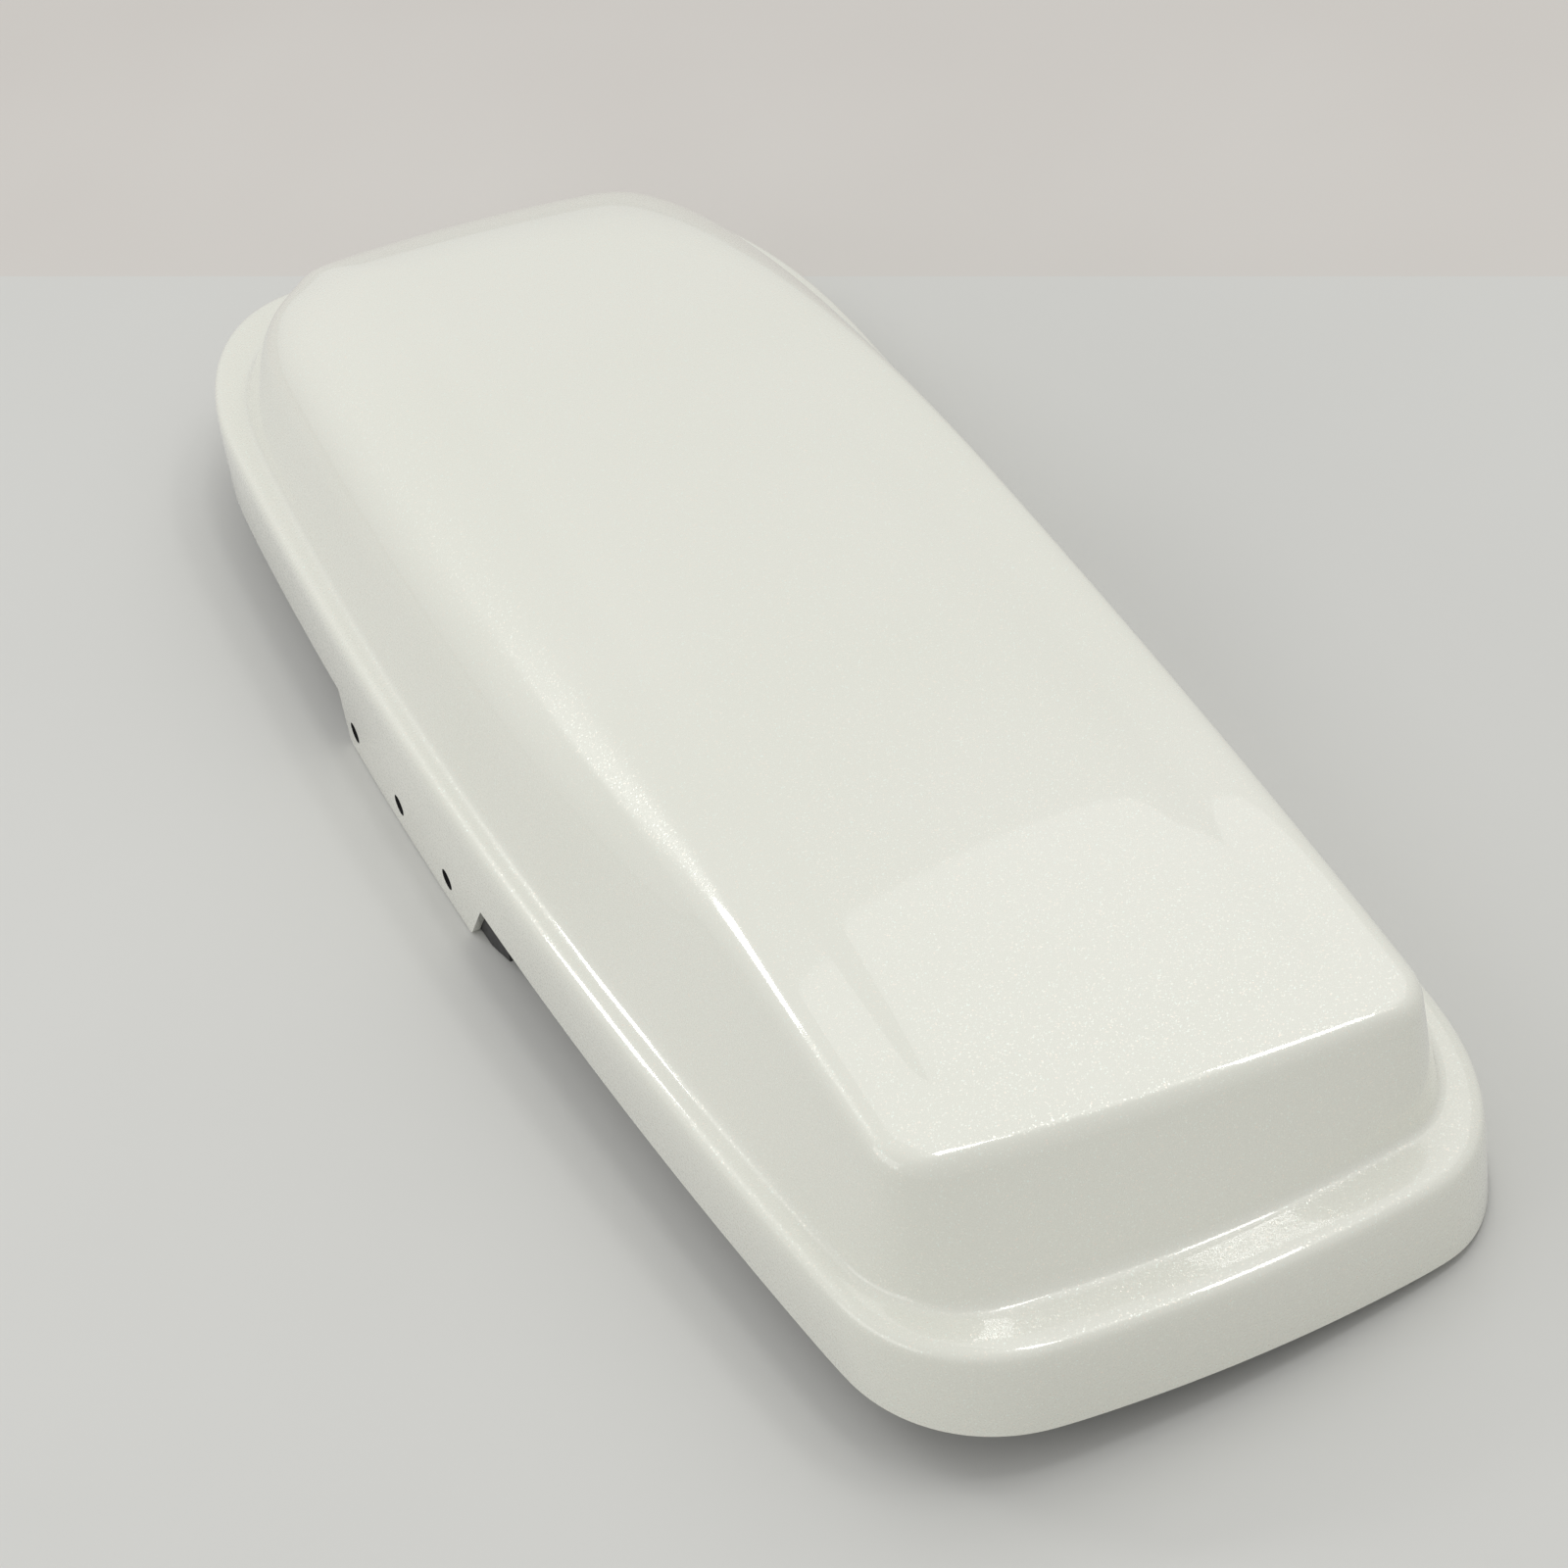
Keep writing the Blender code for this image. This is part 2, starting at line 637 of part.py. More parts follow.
# ---------------------------------------------------------------- inboard latch
def latch_housing():
    """Flanged cup set in the crown's wall: it holds the lever's pin, the lock and the rod's guide."""
    obj = block("latch_housing", (GAP, -0.060, -0.0165), (FLANGE_OUTER, 0.060, 0.0150), 0.0004, 1)
    cup = cutter(block("cup_body", (-0.0165, -0.0480, -0.0145), (0.0008, 0.0480, 0.0125), 0.003, 2), LATCH)
    boolean(obj, cup, "UNION")
    guide = cutter(block("guide_body", (-0.0400, -0.0060, -0.0125), (-0.0150, 0.0060, -0.0068)), LATCH)
    boolean(obj, guide, "UNION")
    recess = block("cup_recess", (-0.0145, -0.0460, -0.0128), (0.01, 0.0200, 0.0110), 0.002, 2)
    boolean(obj, cutter(recess, LATCH))
    slot = block("tail_slot", (-0.03, -0.0050, 0.0005), (-0.01, 0.0050, 0.0106))
    boolean(obj, cutter(slot, LATCH))
    lock_bore = rod("lock_bore", 0.0073, (-0.03, LOCK_Y, 0), (0.01, LOCK_Y, 0), 24, 0.0)
    boolean(obj, cutter(lock_bore, LATCH))
    guide_bore = rod("guide_bore", ROD_RADIUS + 0.0003, (ROD_X, 0, -0.02), (ROD_X, 0, -0.002), 16, 0.0)
    boolean(obj, cutter(guide_bore, LATCH))
    x, z = LEVER_PIVOT
    pin_bore = rod("pin_bore", 0.0018, (x, -0.0475, z), (x, 0.0215, z), 16, 0.0)
    boolean(obj, cutter(pin_bore, LATCH))
    for side, y in HOUSING_SCREWS:
        boolean(obj, flange_drill(f"flange_hole_{side}", y, 0.0021))
    return finish(obj, BLACK, LATCH)


def lever_frame():
    """An empty on the lever's pin, so that the lever turns about its real axis."""
    frame = bpy.data.objects.new("lever_frame", None)
    PARTS.objects.link(frame)
    frame.parent = LATCH
    frame.location = (LEVER_PIVOT[0], 0.0, LEVER_PIVOT[1])
    return frame


def latch_lever():
    """Paddle that hangs from its pin, with a tail that reaches inwards over the push rod."""
    frame = lever_frame()
    low, high = LEVER_SPAN
    obj = block("latch_lever", (0.0, low, -PADDLE_HEIGHT), (0.0035, high, 0.0015), 0.0012, 2)
    hub = block("lever_hub", (-0.0028, low + 0.0005, -0.0026), (0.0026, high - 0.0005, 0.0012), 0.0008, 1)
    hub = cutter(hub, frame)
    boolean(obj, hub, "UNION")
    tail = cutter(block("lever_tail", (-0.0330, -0.0035, -0.0022), (0.0021, 0.0035, 0.0009)), frame)
    boolean(obj, tail, "UNION")
    bore = cutter(rod("lever_bore", 0.00158, (0, low - 0.01, 0), (0, high + 0.01, 0), 16, 0.0), frame)
    boolean(obj, bore)
    gap = cutter(block("spring_gap", (-0.005, -0.0200, -0.0040), (0.0026, -0.0120, 0.004)), frame)
    boolean(obj, gap)
    scoop_low = (0.0022, low + 0.006, -PADDLE_HEIGHT + 0.002)
    scoop = block("finger_scoop", scoop_low, (0.01, high - 0.006, -0.0050))
    boolean(obj, cutter(scoop, frame))
    finish(obj, CHROME, frame)
    finish(rod("lever_pin", 0.0015, (0, -0.0470, 0), (0, 0.0210, 0), 16), STEEL, frame)
    spring = coil("lever_spring", 0.0003, 0.0019, 0.0013, 5, (0.0, -0.0193, 0.0), 8)
    finish(spring, STEEL, frame)
    return obj


def lock():
    """Key cylinder in the housing, and the cam that turns with it behind the lever."""
    barrel = rod("lock_cylinder", 0.0070, (-0.0200, LOCK_Y, 0), (0.0018, LOCK_Y, 0), 28, 0.0006)
    finish(barrel, CHROME, LATCH)
    keyway = block("keyway", (-0.004, LOCK_Y - 0.0006, -0.0040), (0.01, LOCK_Y + 0.0006, 0.0040))
    boolean(barrel, cutter(keyway, LATCH))
    cam_low, cam_high = (-0.0223, LOCK_Y - 0.0060, -0.0130), (-0.0203, LOCK_Y + 0.0060, 0.0060)
    cam = block("lock_cam", cam_low, cam_high, 0.0008, 1)
    finish(cam, STEEL, LATCH)


def push_rod():
    top = LEVER_PIVOT[1] - 0.0022 - 0.0006
    bottom = SHAFT_AT[1] + 0.0025 + 0.0014
    finish(rod("push_rod", ROD_RADIUS, (ROD_X, 0, bottom), (ROD_X, 0, top), 16), STEEL, LATCH)


def shaft_frame():
    frame = bpy.data.objects.new("shaft_frame", None)
    PARTS.objects.link(frame)
    frame.parent = LATCH
    frame.location = (SHAFT_AT[0], 0.0, SHAFT_AT[1])
    return frame


def latch_shaft():
    """Cross shaft with the crank that the rod pushes and a hook near each end."""
    frame = shaft_frame()
    half = SHAFT_LENGTH / 2
    finish(rod("latch_shaft", SHAFT_RADIUS, (0, -half, 0), (0, half, 0), 16), STEEL, frame)
    hub = SHAFT_RADIUS + 0.003
    reach = ROD_X - SHAFT_AT[0] - 0.004
    arm = arc((0, 0), hub, -150, 150, 15) + [(reach, 0.0025), (reach, -0.0025)]
    crank = plate("latch_crank", arm, 0.008, 0.0)
    bore = cutter(rod("crank_bore", SHAFT_RADIUS + GAP, (0, -0.02, 0), (0, 0.02, 0), 16, 0.0), frame)
    boolean(crank, bore)
    finish(crank, DARK_STEEL, frame)
    for side, y in (("front", HOOK_Y), ("rear", -HOOK_Y)):
        hook = plate(f"latch_hook_{side}", hook_outline(hub), 0.005, y)
        bore = rod(f"hook_bore_{side}", SHAFT_RADIUS + GAP, (0, y - 0.02, 0), (0, y + 0.02, 0), 16, 0.0)
        boolean(hook, cutter(bore, frame))
        finish(hook, DARK_STEEL, frame)


def hook_outline(hub):
    """Round hub, an arm that hangs down, and a nose that bites inwards under the striker."""
    down = -0.0150
    return (
        arc((0, 0), hub, -20, 200, 13)
        + [(-0.0055, -0.0035), (-0.0045, down + 0.0040), (-0.0110, down + 0.0035)]
        + arc((-0.0105, down + 0.0012), 0.0014, 150, 250, 4)
        + arc((0.0010, down + 0.0020), 0.0020, 270, 350, 4)
    )


def shaft_brackets():
    """Bearing blocks on the liner's inboard wall, one screw in each, and the shaft's return spring."""
    x, z = SHAFT_AT
    head = 0.0024
    screw_start = BRACKET_INNER - GAP - head
    screw_length = -0.0025 - screw_start
    for side, y in BRACKETS:
        low = (BRACKET_INNER, y - 0.006, z - 0.0085)
        obj = block(f"shaft_bracket_{side}", low, (BRACKET_OUTER, y + 0.006, -0.0090), 0.001, 1)
        bore = rod(f"bearing_{side}", SHAFT_RADIUS + 0.0003, (x, y - 0.02, z), (x, y + 0.02, z), 16, 0.0)
        boolean(obj, cutter(bore, LATCH))
        boolean(obj, bracket_drill(f"bracket_hole_{side}", y, 0.0019, 0.01))
        finish(obj, BLACK, LATCH)
        shank = ((0.0, screw_length), (0.0015, screw_length), (0.0015, head + GAP))
        outline = shank + ((0.0030, head), (0.0030, 0.0), (0.0, 0.0))
        at = (screw_start, y, BRACKET_SCREW_Z)
        finish(turned(f"bracket_screw_{side}", outline, (1, 0, 0), at, 12), STEEL, LATCH)
    start = (x, BRACKET_Y - 0.0190, z)
    finish(coil("shaft_spring", 0.0006, SHAFT_RADIUS + 0.0014, 0.0020, 5, start, 8), STEEL, LATCH)


def housing_fasteners():
    """One screw through each end of the flange, with its nut behind the shell's wall."""
    length, under_head = 0.0088, FLANGE_OUTER + GAP
    for side, y in HOUSING_SCREWS:
        top = length + 0.0012
        head = ((0.0, top), (0.0026, top), (0.0032, top - 0.0004), (0.0032, length))
        outline = head + ((0.0017, length - 0.0002), (0.0017, 0.0), (0.0, 0.0))
        at = (under_head - length, y, FLANGE_SCREW_Z)
        finish(turned(f"housing_screw_{side}", outline, (1, 0, 0), at, 16), STEEL, LATCH)
        nut_low = (-0.0062, y - 0.0032, FLANGE_SCREW_Z - 0.0032)
        nut_high = (-0.0036, y + 0.0032, FLANGE_SCREW_Z + 0.0032)
        nut = block(f"housing_nut_{side}", nut_low, nut_high, 0.0004, 1)
        boolean(nut, flange_drill(f"nut_bore_{side}", y, 0.0020))
        finish(nut, STEEL, LATCH)


def place_origin():
    """Moves the design frame so that the lid stands on z = 0 with its plan centred on the origin."""
    plan = ring(SKIRT, STATIONS)
    xs, ys = [p.x for p in plan], [p.y for p in plan]
    ORIGIN.location = (-(min(xs) + max(xs)) / 2, -(min(ys) + max(ys)) / 2, TAB_DEPTH)


outer_shell()
hinge_backing_plate()
hinge_inserts()
inner_liner()
lid_seal()
latch_housing()
latch_lever()
lock()
push_rod()
latch_shaft()
shaft_brackets()
housing_fasteners()
place_origin()
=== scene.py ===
import json
import math

import bmesh
import bpy
from mathutils import Matrix, Vector

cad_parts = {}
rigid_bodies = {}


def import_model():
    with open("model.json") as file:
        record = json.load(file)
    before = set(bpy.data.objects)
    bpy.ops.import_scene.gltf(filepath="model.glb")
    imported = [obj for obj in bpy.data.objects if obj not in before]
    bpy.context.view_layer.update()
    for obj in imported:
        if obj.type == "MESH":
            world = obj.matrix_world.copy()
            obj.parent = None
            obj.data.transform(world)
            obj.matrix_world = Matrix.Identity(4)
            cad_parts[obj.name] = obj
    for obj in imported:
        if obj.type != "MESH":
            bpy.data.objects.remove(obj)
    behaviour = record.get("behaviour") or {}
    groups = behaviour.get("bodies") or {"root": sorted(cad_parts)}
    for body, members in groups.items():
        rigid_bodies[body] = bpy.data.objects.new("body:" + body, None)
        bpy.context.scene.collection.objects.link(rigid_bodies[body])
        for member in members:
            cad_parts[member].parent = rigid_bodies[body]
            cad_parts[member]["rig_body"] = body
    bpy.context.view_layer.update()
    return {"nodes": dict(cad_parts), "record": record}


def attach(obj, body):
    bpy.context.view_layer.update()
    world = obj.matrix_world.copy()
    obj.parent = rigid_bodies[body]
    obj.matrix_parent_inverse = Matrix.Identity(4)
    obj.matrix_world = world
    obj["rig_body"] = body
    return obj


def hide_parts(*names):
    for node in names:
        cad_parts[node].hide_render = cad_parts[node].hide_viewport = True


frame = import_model()

# ---------------------------------------------------------------- dimensions, metres, as in part.py
ORIGIN = Vector((0.00659, -0.005677, 0.0235))  # the design frame's origin in the world
WALL = 0.003
SKIRT_HEIGHT = 0.0353
CROWN_HEIGHT = 0.089
CROWN_END_DROP = 0.0056
CROWN_HALF_LENGTH = 0.31
LEDGE = (0.009, 0.021, 0.010, 0.025)  # outboard, rear, inboard, front
TAB_DEPTH = 0.0235
TAB_FRONT = 0.131
TAB_REAR = -0.0052
TAB_FRONT_RUN = 0.006
TAB_REAR_RUN = 0.019
HOLE_YS = (0.1197, 0.0746, 0.0295)
HOLE_Z = -0.012
HOLE_RADIUS = 0.004
CREASE_DRAFT = math.radians(22)
CREASE_SHARE = 0.76
CREASE_FADE = (-0.19, -0.02)  # from the rear, no crease up to the first y, all of it from the second
PLAIN_SHARE = 0.75  # where the wall's middle point lies between foot and top without a crease
LINER_OFFSET = 0.0046
LINER_WALL = 0.002
SEAL_INSET = 0.0085
SEAL_HEIGHT = 0.0254
SEAL_RADIUS = 0.0030
SEAL_FLAT = 0.0027  # the bulb is cut flat this far above its middle
TOP_INSET = 0.022
TOP_RISE = 0.0015
DOME = 0.0035
SKIRT = {
    "corners": ((-0.1014, -0.3010), (0.1139, -0.3047), (0.1075, 0.2991), (-0.1168, 0.3240)),
    "bows": (0.0114, 0.0030, 0.0104, 0.0178),
    "setbacks": ((0.0448, 0.0434), (0.0398, 0.0693), (0.1200, 0.0600), (0.0475, 0.0813)),
}
CROWN = {
    "corners": ((-0.0848, -0.2630), (0.0901, -0.2828), (0.0808, 0.2051), (-0.0703, 0.2551)),
    "bows": (0.0036, 0.0035, 0.0093, 0.0034),
    "setbacks": ((0.0153, 0.0147), (0.0123, 0.0140), (0.1807, 0.0456), (0.0166, 0.0435)),
}
SHORT_COUNT, LONG_COUNT, CORNER_COUNT = 8, 16, 7
BELOW_RIM = -0.034  # how deep the shell is made before its lower edge is cut to shape
END_Y = 0.45  # well past both ends of the lid
LATCH_AT = Vector((0.09845, 0.0, 0.0545))
LATCH_DRAFT = math.radians(15.3)
LATCH_YAW = math.radians(0.85)
LATCH_TO_WORLD = Matrix.Translation(ORIGIN) @ Matrix.LocRotScale(
    LATCH_AT, Matrix.Rotation(LATCH_YAW, 3, "Z") @ Matrix.Rotation(-LATCH_DRAFT, 3, "Y"), None
)
LATCH_OPENING = ((-0.02, -0.049, -0.0150), (0.02, 0.049, 0.0130))
LATCH_OPENING_EDGE = 0.004
LATCH_SCREW_YS = (0.054, -0.054)
LATCH_SCREW_Z = -0.005
LATCH_SCREW_HOLE = 0.0024
LINER_WINDOW = ((-0.05, -0.062, -0.0175), (0.02, 0.062, 0.0165))


# ---------------------------------------------------------------- camera
LENS = 112.4  # millimetres, on a sensor 36 mm wide
LENS_SHIFT = (-0.0164, -0.0117)
CAMERA_AT = Vector((-0.42016, -1.20523, 1.13789))  # from the design frame's origin
CAMERA_AZIMUTH = math.radians(-19.278)  # from straight behind the lid towards its outboard side
CAMERA_ELEVATION = math.radians(41.65)
CAMERA_ROLL = math.radians(-8.472)


def make_camera():
    """Long lens, high over the rear outboard corner."""
    data = bpy.data.cameras.new("camera")
    data.lens = LENS
    data.sensor_width = 36.0
    data.shift_x, data.shift_y = LENS_SHIFT
    cam = bpy.data.objects.new("camera", data)
    turn = Matrix.Rotation(CAMERA_AZIMUTH, 4, "Z")
    turn @= Matrix.Rotation(math.radians(90) - CAMERA_ELEVATION, 4, "X")
    turn @= Matrix.Rotation(CAMERA_ROLL, 4, "Z")
    cam.matrix_world = Matrix.Translation(ORIGIN + CAMERA_AT) @ turn
    bpy.context.scene.collection.objects.link(cam)
    bpy.context.scene.camera = cam


# ---------------------------------------------------------------- outlines
class Side:
    """One bowed side of an outline, from one corner to the next."""

    def __init__(self, start, end, bow):
        self.start = Vector(start)
        self.run = Vector(end) - self.start
        self.length = self.run.length
        self.outward = Vector((self.run.y, -self.run.x)) / self.length
        self.bow = bow

    def point(self, t):
        return self.start + self.run * t + self.outward * (4 * self.bow * t * (1 - t))

    def tangent(self, t):
        return (self.run + self.outward * (4 * self.bow * (1 - 2 * t))).normalized()


def shifted(outline, outboard, rear, inboard, front):
    """The outline with its four sides moved inwards by these distances."""
    moves = ((outboard, rear), (-inboard, rear), (-inboard, -front), (outboard, -front))
    corners = tuple((x + dx, y + dy) for (x, y), (dx, dy) in zip(outline["corners"], moves))
    reach = 0.36 * (outboard + rear + inboard + front) / 2
    setbacks = tuple(tuple(max(s - reach, 0.012) for s in pair) for pair in outline["setbacks"])
    return {"corners": corners, "bows": outline["bows"], "setbacks": setbacks}


def crossing(a, direction_a, b, direction_b):
    """How far along each of two directions their lines meet."""
    det = direction_a.x * -direction_b.y + direction_a.y * direction_b.x
    gap = b - a
    along_a = (gap.x * -direction_b.y + gap.y * direction_b.x) / det
    along_b = (direction_a.x * gap.y - direction_a.y * gap.x) / det
    return along_a, along_b


def ring(outline, fullness=0.6):
    """Points round an outline: each side's own points, then those of the rounded corner after it."""
    corners, setbacks = outline["corners"], outline["setbacks"]
    sides = [Side(corners[i], corners[(i + 1) % 4], outline["bows"][i]) for i in range(4)]
    points = []
    for i, side in enumerate(sides):
        after = (i + 1) % 4
        count = (SHORT_COUNT, LONG_COUNT)[i % 2]
        first = setbacks[i][1] / side.length
        last = 1 - setbacks[after][0] / side.length
        points += [side.point(first + (last - first) * k / (count - 1)) for k in range(count)]
        a, direction_a = side.point(last), side.tangent(last)
        start = setbacks[after][1] / sides[after].length
        b, direction_b = sides[after].point(start), -sides[after].tangent(start)
        along_a, along_b = crossing(a, direction_a, b, direction_b)
        handle_a = a + direction_a * along_a * fullness
        handle_b = b + direction_b * along_b * fullness
        for k in range(1, CORNER_COUNT + 1):
            t = k / (CORNER_COUNT + 1)
            s = 1 - t
            points.append(a * s**3 + handle_a * 3 * s * s * t + handle_b * 3 * s * t * t + b * t**3)
    return points


def inward_normals(points):
    found = []
    for i in range(len(points)):
        along = points[(i + 1) % len(points)] - points[i - 1]
        found.append(Vector((-along.y, along.x)).normalized())
    return found


def smoothstep(low, high, value):
    t = min(max((value - low) / (high - low), 0.0), 1.0)
    return t * t * (3 - 2 * t)


def tab_drop(y):
    """How far below the rim the hinge tab reaches at this place along the outboard side."""
    ahead = min(max((TAB_FRONT - y) / TAB_FRONT_RUN, 0.0), 1.0)
    behind = min(max((y - TAB_REAR) / TAB_REAR_RUN, 0.0), 1.0)
    ahead = (1 - (1 - ahead) ** 4) ** 0.25
    behind = min(behind * 1.15, 1 - 0.35 * (1 - behind) ** 2)
    return TAB_DEPTH * min(ahead, behind)


# ---------------------------------------------------------------- the moulded surface
def sections(lowest):
    """For every point round the lid, its inward normal and the corner points of its section."""
    skirt, crown = ring(SKIRT), ring(CROWN)
    foot = ring(shifted(SKIRT, *LEDGE))
    top = ring(shifted(CROWN, TOP_INSET, TOP_INSET, TOP_INSET, TOP_INSET))
    found = []
    for i, inward in enumerate(inward_normals(skirt)):
        creased = max(inward.x, -0.8 * inward.y, 0.0) * smoothstep(*CREASE_FADE, crown[i].y)
        edge_z = CROWN_HEIGHT - CROWN_END_DROP * (crown[i].y / CROWN_HALF_LENGTH) ** 2
        rise = edge_z - SKIRT_HEIGHT
        step = crown[i] - foot[i]
        share = math.tan(CREASE_DRAFT) * CREASE_SHARE * rise / max(step.length, 0.001)
        across = PLAIN_SHARE + (min(share, PLAIN_SHARE) - PLAIN_SHARE) * creased
        up = PLAIN_SHARE + (CREASE_SHARE - PLAIN_SHARE) * creased
        found.append({
            "inward": inward,
            "creased": creased,
            "corners": (
                skirt[i].to_3d() + Vector((0, 0, lowest)),
                skirt[i].to_3d() + Vector((0, 0, SKIRT_HEIGHT)),
                foot[i].to_3d() + Vector((0, 0, SKIRT_HEIGHT)),
                (foot[i] + step * across).to_3d() + Vector((0, 0, SKIRT_HEIGHT + up * rise)),
                crown[i].to_3d() + Vector((0, 0, edge_z)),
                top[i].to_3d() + Vector((0, 0, edge_z + TOP_RISE)),
            ),
        })
    return found


def offset_corners(section, distance):
    """The section's corner points moved inwards, at right angles to its own lines."""
    inward, corners = section["inward"].to_3d(), section["corners"]
    flat = [((p - corners[0]).dot(inward), p.z) for p in corners]
    normals = []
    for (s0, z0), (s1, z1) in zip(flat, flat[1:]):
        length = max(math.hypot(s1 - s0, z1 - z0), 1e-6)
        normals.append(((z1 - z0) / length, -(s1 - s0) / length))
    moved = []
    for k, corner in enumerate(corners):
        a, b = normals[max(k - 1, 0)], normals[min(k, len(normals) - 1)]
        scale = distance / (1 + a[0] * b[0] + a[1] * b[1])
        moved.append(corner + inward * (a[0] + b[0]) * scale + Vector((0, 0, (a[1] + b[1]) * scale)))
    moved[0].z = corners[0].z
    return moved


def softened(before, corner, after, reach, count=3):
    """Points that round a corner off, starting and ending at most reach away from it."""
    back, ahead = before - corner, after - corner
    a = corner + back * min(reach / back.length, 0.45)
    b = corner + ahead * min(reach / ahead.length, 0.45)
    points = []
    for k in range(count):
        t = k / (count - 1)
        points.append(a * (1 - t) ** 2 + corner * 2 * t * (1 - t) + b * t**2)
    return points


def profile(section, distance, on_ledge):
    """One line of the surface, from the rim (or from the ledge) up to the top's inner field."""
    p = offset_corners(section, distance)
    creased = section["creased"]
    if on_ledge:
        line = [p[1] + (p[2] - p[1]) * 0.12]
    else:
        line = [p[0], p[0].lerp(p[1], 0.4)]
        line += softened(p[0], p[1], p[2], max(0.0055 - distance, 0.002))
    line += softened(p[1], p[2], p[3], 0.0035 + distance * 0.5)
    line.append(p[2].lerp(p[3], 0.5))
    line += softened(p[2], p[3], p[4], 0.004 + 0.008 * creased)
    line += softened(p[3], p[4], p[5], max(0.0052 + 0.009 * creased - distance, 0.003))
    line += [p[4].lerp(p[5], 0.62), p[5]]
    return line


def field_rows(rim):
    """A grid of points inside a closed ring: a blend between its four sides, raised to a low dome."""
    half = (CORNER_COUNT + 1) // 2
    counts = (SHORT_COUNT, LONG_COUNT, SHORT_COUNT, LONG_COUNT)
    starts, at = [], -half
    for count in counts:
        starts.append(at)
        at += count + CORNER_COUNT
    lines = []
    for side in range(4):
        end = starts[side] + counts[side] + CORNER_COUNT
        lines.append([rim[i % len(rim)] for i in range(starts[side], end + 1)])
    near, right, far, left = lines
    far, left = far[::-1], left[::-1]
    rows = []
    for j in range(len(left)):
        v = j / (len(left) - 1)
        row = []
        for i in range(len(near)):
            u = i / (len(near) - 1)
            across = left[j] * (1 - u) + right[j] * u
            along = near[i] * (1 - v) + far[i] * v
            corner = (near[0] * (1 - u) + near[-1] * u) * (1 - v)
            corner += (far[0] * (1 - u) + far[-1] * u) * v
            lift = DOME * (1 - (2 * u - 1) ** 2) * (1 - (2 * v - 1) ** 2)
            row.append(across + along - corner + Vector((0, 0, lift)))
        rows.append(row)
    return rows, starts


def skin(bm, found, distance, on_ledge):
    """Adds one surface with its top field, and gives back its lowest ring of vertices."""
    lines = [[bm.verts.new(p) for p in profile(s, distance, on_ledge)] for s in found]
    total = len(lines)
    for i in range(total):
        here, there = lines[i], lines[(i + 1) % total]
        for k in range(len(here) - 1):
            bm.faces.new((here[k], there[k], there[k + 1], here[k + 1]))
    rows, starts = field_rows([line[-1].co.copy() for line in lines])
    height, width = len(rows), len(rows[0])
    grid = [[None] * width for _ in range(height)]
    for i in range(width):
        grid[0][i] = lines[(starts[0] + i) % total][-1]
        grid[-1][width - 1 - i] = lines[(starts[2] + i) % total][-1]
    for j in range(height):
        grid[j][-1] = lines[(starts[1] + j) % total][-1]
        grid[height - 1 - j][0] = lines[(starts[3] + j) % total][-1]
    for j in range(height):
        for i in range(width):
            grid[j][i] = grid[j][i] or bm.verts.new(rows[j][i])
    for j in range(height - 1):
        for i in range(width - 1):
            bm.faces.new((grid[j][i], grid[j][i + 1], grid[j + 1][i + 1], grid[j + 1][i]))
    return [line[0] for line in lines]


def mesh_object(name, bm, matrix=None):
    """Links a mesh made in the design frame, moved to the world."""
    bmesh.ops.recalc_face_normals(bm, faces=bm.faces)
    bm.transform(matrix or Matrix.Translation(ORIGIN))
    data = bpy.data.meshes.new(name)
    bm.to_mesh(data)
    bm.free()
    obj = bpy.data.objects.new(name, data)
    bpy.context.scene.collection.objects.link(obj)
    return obj


def moulded(name, outer, inner, levels, on_ledge=False):
    """A closed shell between two offsets of the lid's surface, smoothed by subdivision."""
    bm = bmesh.new()
    found = sections(BELOW_RIM)
    outside = skin(bm, found, outer, on_ledge)
    inside = skin(bm, found, inner, on_ledge)
    for i in range(len(outside)):
        j = (i + 1) % len(outside)
        bm.faces.new((outside[i], inside[i], inside[j], outside[j]))
    edge = bm.edges.layers.float.new("crease_edge")
    for i in range(len(outside)):
        for loop in (outside, inside):
            bm.edges.get((loop[i], loop[(i + 1) % len(loop)]))[edge] = 1.0
    obj = mesh_object(name, bm)
    step = obj.modifiers.new("smooth", "SUBSURF")
    step.levels = levels
    step.render_levels = levels
    return obj


def applied(obj, sharp_degrees=32):
    """Turns the modifiers into mesh, shaded smooth between its sharp edges."""
    bpy.context.view_layer.update()
    graph = bpy.context.evaluated_depsgraph_get()
    data = bpy.data.meshes.new_from_object(obj.evaluated_get(graph), depsgraph=graph)
    obj.modifiers.clear()
    obj.data = data
    data.shade_smooth()
    data.set_sharp_from_angle(angle=math.radians(sharp_degrees))


def cut(obj, cutters):
    """Cuts each of these shapes out of the piece and deletes them."""
    for other in cutters:
        step = obj.modifiers.new(other.name, "BOOLEAN")
        step.operation = "DIFFERENCE"
        step.object = other
        step.solver = "EXACT"
    applied(obj)
    for other in cutters:
        bpy.data.objects.remove(other)


def box_mesh(low, high, bevel=0.0):
    low, high = Vector(low), Vector(high)
    bm = bmesh.new()
    bmesh.ops.create_cube(bm, size=1.0, matrix=Matrix.LocRotScale((low + high) / 2, None, high - low))
    if bevel:
        bmesh.ops.bevel(
            bm, geom=list(bm.edges), offset=bevel, segments=3, profile=0.5, affect="EDGES"
        )
    return bm


def rod_mesh(radius, start, end, segments=48):
    """A round bar between two points."""
    start, end = Vector(start), Vector(end)
    axis = end - start
    turn = Vector((0, 0, 1)).rotation_difference(axis).to_matrix().to_4x4()
    bm = bmesh.new()
    bmesh.ops.create_cone(
        bm, cap_ends=True, segments=segments, radius1=radius, radius2=radius, depth=axis.length,
        matrix=Matrix.Translation((start + end) / 2) @ turn,
    )
    return bm


